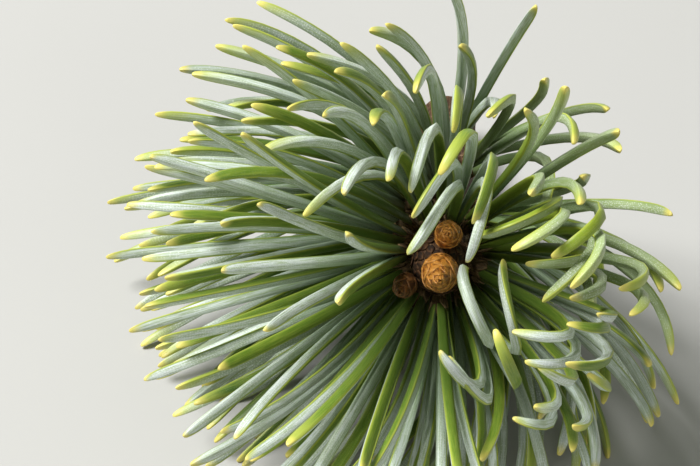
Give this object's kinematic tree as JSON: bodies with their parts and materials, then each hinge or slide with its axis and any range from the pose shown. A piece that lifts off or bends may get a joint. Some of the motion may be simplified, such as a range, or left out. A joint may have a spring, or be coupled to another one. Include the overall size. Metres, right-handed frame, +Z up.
{
  "type": "japanese stone pine shoot",
  "caption": "Cut shoot tip of a dwarf pine, lying on its cut end and lower needles: a short rising brown stem, resinous buds and bundles of blue-white and green needles.",
  "frame": {"origin": "under the middle of the whole shoot, on the level surface it lies on", "axes": "-Y from the cut end towards the tip seen from above, +Z up, +X to the right of a viewer who looks down on the tip"},
  "size_m": [0.0592, 0.0736, 0.0518],
  "materials": {
    "bark": "rough brown bark with small scars, pale wood on the cut face",
    "bud": "orange-brown scales with a thin resin gloss",
    "needles": "green with waxy blue-white inner faces and yellow tips, softly glossy"
  },
  "bodies": {
    "root": {"stem": "bark", "bud_side_1": "bud", "bud_side_2": "bud", "bud_tip": "bud", "needle_bundle_01": "needles", "needle_bundle_02": "needles", "needle_bundle_03": "needles", "needle_bundle_04": "needles", "needle_bundle_05": "needles", "needle_bundle_06": "needles", "needle_bundle_07": "needles", "needle_bundle_08": "needles", "needle_bundle_09": "needles", "needle_bundle_10": "needles", "needle_bundle_11": "needles", "needle_bundle_12": "needles", "needle_bundle_13": "needles", "needle_bundle_14": "needles", "needle_bundle_15": "needles", "needle_bundle_16": "needles", "needle_bundle_17": "needles", "needle_bundle_18": "needles", "needle_bundle_19": "needles", "needle_bundle_20": "needles", "needle_bundle_21": "needles", "needle_bundle_22": "needles", "needle_bundle_23": "needles", "needle_bundle_24": "needles", "needle_bundle_25": "needles", "needle_bundle_26": "needles", "needle_bundle_27": "needles", "needle_bundle_28": "needles", "needle_bundle_29": "needles", "needle_bundle_30": "needles", "needle_bundle_31": "needles", "needle_bundle_32": "needles", "needle_bundle_33": "needles", "needle_bundle_34": "needles", "needle_bundle_35": "needles", "needle_bundle_36": "needles", "needle_bundle_37": "needles", "needle_bundle_38": "needles", "needle_bundle_39": "needles", "needle_bundle_40": "needles", "needle_bundle_41": "needles", "needle_bundle_42": "needles", "needle_bundle_43": "needles", "needle_bundle_44": "needles", "needle_bundle_45": "needles", "needle_bundle_46": "needles", "needle_bundle_47": "needles", "needle_bundle_48": "needles", "needle_bundle_49": "needles", "needle_bundle_50": "needles", "needle_bundle_51": "needles", "needle_bundle_52": "needles", "needle_bundle_53": "needles", "needle_bundle_54": "needles", "needle_bundle_55": "needles"}
  },
  "joints": []
}
